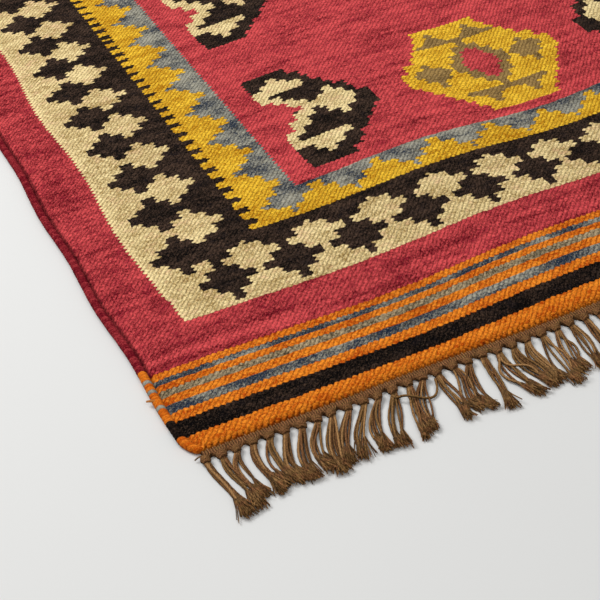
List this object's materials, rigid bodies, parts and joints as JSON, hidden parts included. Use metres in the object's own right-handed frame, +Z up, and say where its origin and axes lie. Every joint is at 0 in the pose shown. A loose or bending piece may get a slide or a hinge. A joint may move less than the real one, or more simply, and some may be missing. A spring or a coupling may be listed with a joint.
{
  "type": "kilim rug",
  "caption": "Flat-woven rectangular wool rug with end stripes, stepped borders and knotted fringes, lying flat on a floor.",
  "frame": {"origin": "middle of the rug, on the floor that it lies on", "axes": "+X across the rug, +Y along its length away from the pictured end, +Z up through its face"},
  "size_m": [0.608, 1.0149, 0.0049],
  "materials": {
    "wool": "matt hand-spun wool, weft-faced plain weave with a multicolour kilim pattern",
    "fringe_yarn": "matt brown plied yarn, twisted, with frayed ends"
  },
  "bodies": {
    "root": {"rug_body": "wool", "fringe_near": "fringe_yarn", "fringe_far": "fringe_yarn"}
  },
  "joints": []
}
